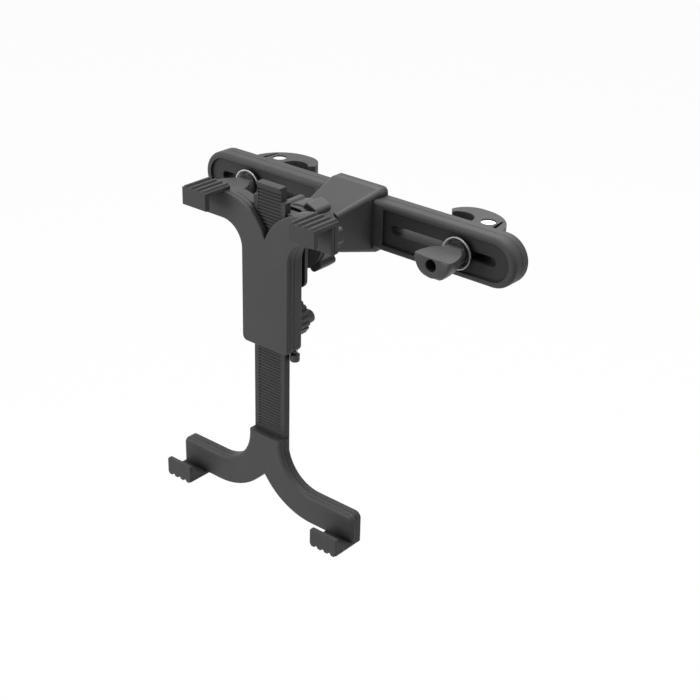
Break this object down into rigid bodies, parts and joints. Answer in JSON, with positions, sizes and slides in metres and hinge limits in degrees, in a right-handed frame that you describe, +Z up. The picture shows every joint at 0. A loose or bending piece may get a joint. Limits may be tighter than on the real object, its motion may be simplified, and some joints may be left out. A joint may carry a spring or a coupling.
{
  "type": "headrest tablet mount",
  "caption": "Headrest tablet mount: a slotted bar with hooked post clamps and thumb knobs, a ball-jointed arm, and a stretching holder with ribbed jaws and hooks.",
  "frame": {"origin": "centre of the rear face of the bar, on the cover behind the centre arm", "axes": "+X along the bar, +Y to the rear towards the headrest posts, +Z up; the tablet faces -Y"},
  "size_m": [0.24, 0.1319, 0.2065],
  "materials": {
    "shell_plastic": "fine matte texture",
    "knob_plastic": "satin",
    "grip_rubber": "matte",
    "polished_steel": "polished",
    "dark_steel": "black oxide",
    "bearing_plastic": "smooth",
    "insert_brass": "plain"
  },
  "bodies": {
    "bar": {"bar_front_shell": "shell_plastic", "bar_rear_shell": "shell_plastic", "bar_screws": "dark_steel", "arm_housing": "shell_plastic", "housing_cover": "shell_plastic", "cover_screws": "dark_steel", "socket_cup": "knob_plastic", "socket_screw": "dark_steel"},
    "locking_ring": {"locking_ring": "knob_plastic"},
    "liner": {"ball_liner": "bearing_plastic"},
    "ball_stud": {"ball_stud": "dark_steel", "stud_washer": "dark_steel", "stud_screw": "dark_steel"},
    "holder": {"ball_plate": "shell_plastic", "plate_screws": "dark_steel", "back_housing": "shell_plastic", "upper_bracket": "shell_plastic", "holder_screws": "dark_steel", "jaw_cap_right": "grip_rubber", "jaw_cap_left": "grip_rubber", "lock_insert": "insert_brass", "button_spring": "dark_steel"},
    "lower_cradle": {"slide_rail": "shell_plastic", "lower_cradle": "shell_plastic", "cradle_screws": "dark_steel", "cradle_hook_right": "grip_rubber", "cradle_hook_left": "grip_rubber"},
    "lock_knob": {"lock_knob": "knob_plastic", "lock_screw": "dark_steel"},
    "brake_pad": {"brake_pad": "grip_rubber"},
    "release_button": {"release_button": "knob_plastic"},
    "pawl": {"pawl": "dark_steel"},
    "right_slider": {"guide_bush_right": "shell_plastic", "flange_washer_right": "polished_steel"},
    "right_knob": {"thumb_knob_right": "knob_plastic", "clamp_bolt_right": "dark_steel"},
    "right_nut": {"barrel_nut_right": "polished_steel"},
    "right_claw": {"post_claw_right": "shell_plastic"},
    "left_slider": {"guide_bush_left": "shell_plastic", "flange_washer_left": "polished_steel"},
    "left_knob": {"thumb_knob_left": "knob_plastic", "clamp_bolt_left": "dark_steel"},
    "left_nut": {"barrel_nut_left": "polished_steel"},
    "left_claw": {"post_claw_left": "shell_plastic"}
  },
  "joints": [
    {"name": "ring_turn", "type": "hinge", "parent": "bar", "child": "locking_ring", "pos_m": [0, -0.053, 0], "axis": [0, 1, 0], "range_deg": [0, 180]},
    {"name": "ball_pan", "type": "hinge", "parent": "bar", "child": "liner", "pos_m": [0, -0.053, 0], "axis": [0, 0, 1], "range_deg": [-15, 15]},
    {"name": "ball_tilt", "type": "hinge", "parent": "liner", "child": "ball_stud", "pos_m": [0, -0.053, 0], "axis": [1, 0, 0], "range_deg": [-15, 15]},
    {"name": "holder_roll", "type": "hinge", "parent": "ball_stud", "child": "holder", "pos_m": [0, -0.053, 0], "axis": [0, 1, 0], "continuous": true},
    {"name": "cradle_stretch", "type": "slide", "parent": "holder", "child": "lower_cradle", "axis": [0, 0, 1], "range_m": [-0.016, 0.054]},
    {"name": "lock_turn", "type": "hinge", "parent": "holder", "child": "lock_knob", "pos_m": [0, -0.066, -0.049], "axis": [0, 1, 0], "range_deg": [0, 270]},
    {"name": "brake_press", "type": "slide", "parent": "holder", "child": "brake_pad", "axis": [0, -1, 0], "range_m": [0, 0.0002]},
    {"name": "button_press", "type": "slide", "parent": "holder", "child": "release_button", "axis": [0, 0, 1], "range_m": [0, 0.002], "stiffness_N_per_m": 300, "springref_m": -0.001, "deforming": ["button_spring"]},
    {"name": "pawl_release", "type": "slide", "parent": "holder", "child": "pawl", "axis": [1, 0, 0], "range_m": [0, 0.001]},
    {"name": "right_clamp_slide", "type": "slide", "parent": "bar", "child": "right_slider", "axis": [1, 0, 0], "range_m": [-0.036, 0.017]},
    {"name": "right_knob_turn", "type": "hinge", "parent": "right_slider", "child": "right_knob", "pos_m": [0.0815, -0.028, 0], "axis": [0, 1, 0], "range_deg": [0, 1440]},
    {"name": "right_nut_travel", "type": "slide", "parent": "right_slider", "child": "right_nut", "axis": [0, 1, 0], "range_m": [0, 0.0032]},
    {"name": "right_claw_swing", "type": "hinge", "parent": "right_nut", "child": "right_claw", "pos_m": [0.0815, 0.0147, 0], "axis": [0, 0, 1], "range_deg": [0, 6]},
    {"name": "left_clamp_slide", "type": "slide", "parent": "bar", "child": "left_slider", "axis": [-1, 0, 0], "range_m": [-0.036, 0.017]},
    {"name": "left_knob_turn", "type": "hinge", "parent": "left_slider", "child": "left_knob", "pos_m": [-0.0815, -0.028, 0], "axis": [0, 1, 0], "range_deg": [0, 1440]},
    {"name": "left_nut_travel", "type": "slide", "parent": "left_slider", "child": "left_nut", "axis": [0, 1, 0], "range_m": [0, 0.0032]},
    {"name": "left_claw_swing", "type": "hinge", "parent": "left_nut", "child": "left_claw", "pos_m": [-0.0815, 0.0147, 0], "axis": [0, 0, -1], "range_deg": [0, 6]}
  ],
  "couplings": [
    {"joint": "brake_press", "follows": "lock_turn", "m_per_rad": 0.000042441},
    {"joint": "pawl_release", "follows": "button_press", "ratio": 0.5},
    {"joint": "right_knob_turn", "follows": "right_nut_travel", "rad_per_m": 7854},
    {"joint": "left_knob_turn", "follows": "left_nut_travel", "rad_per_m": 7854}
  ]
}
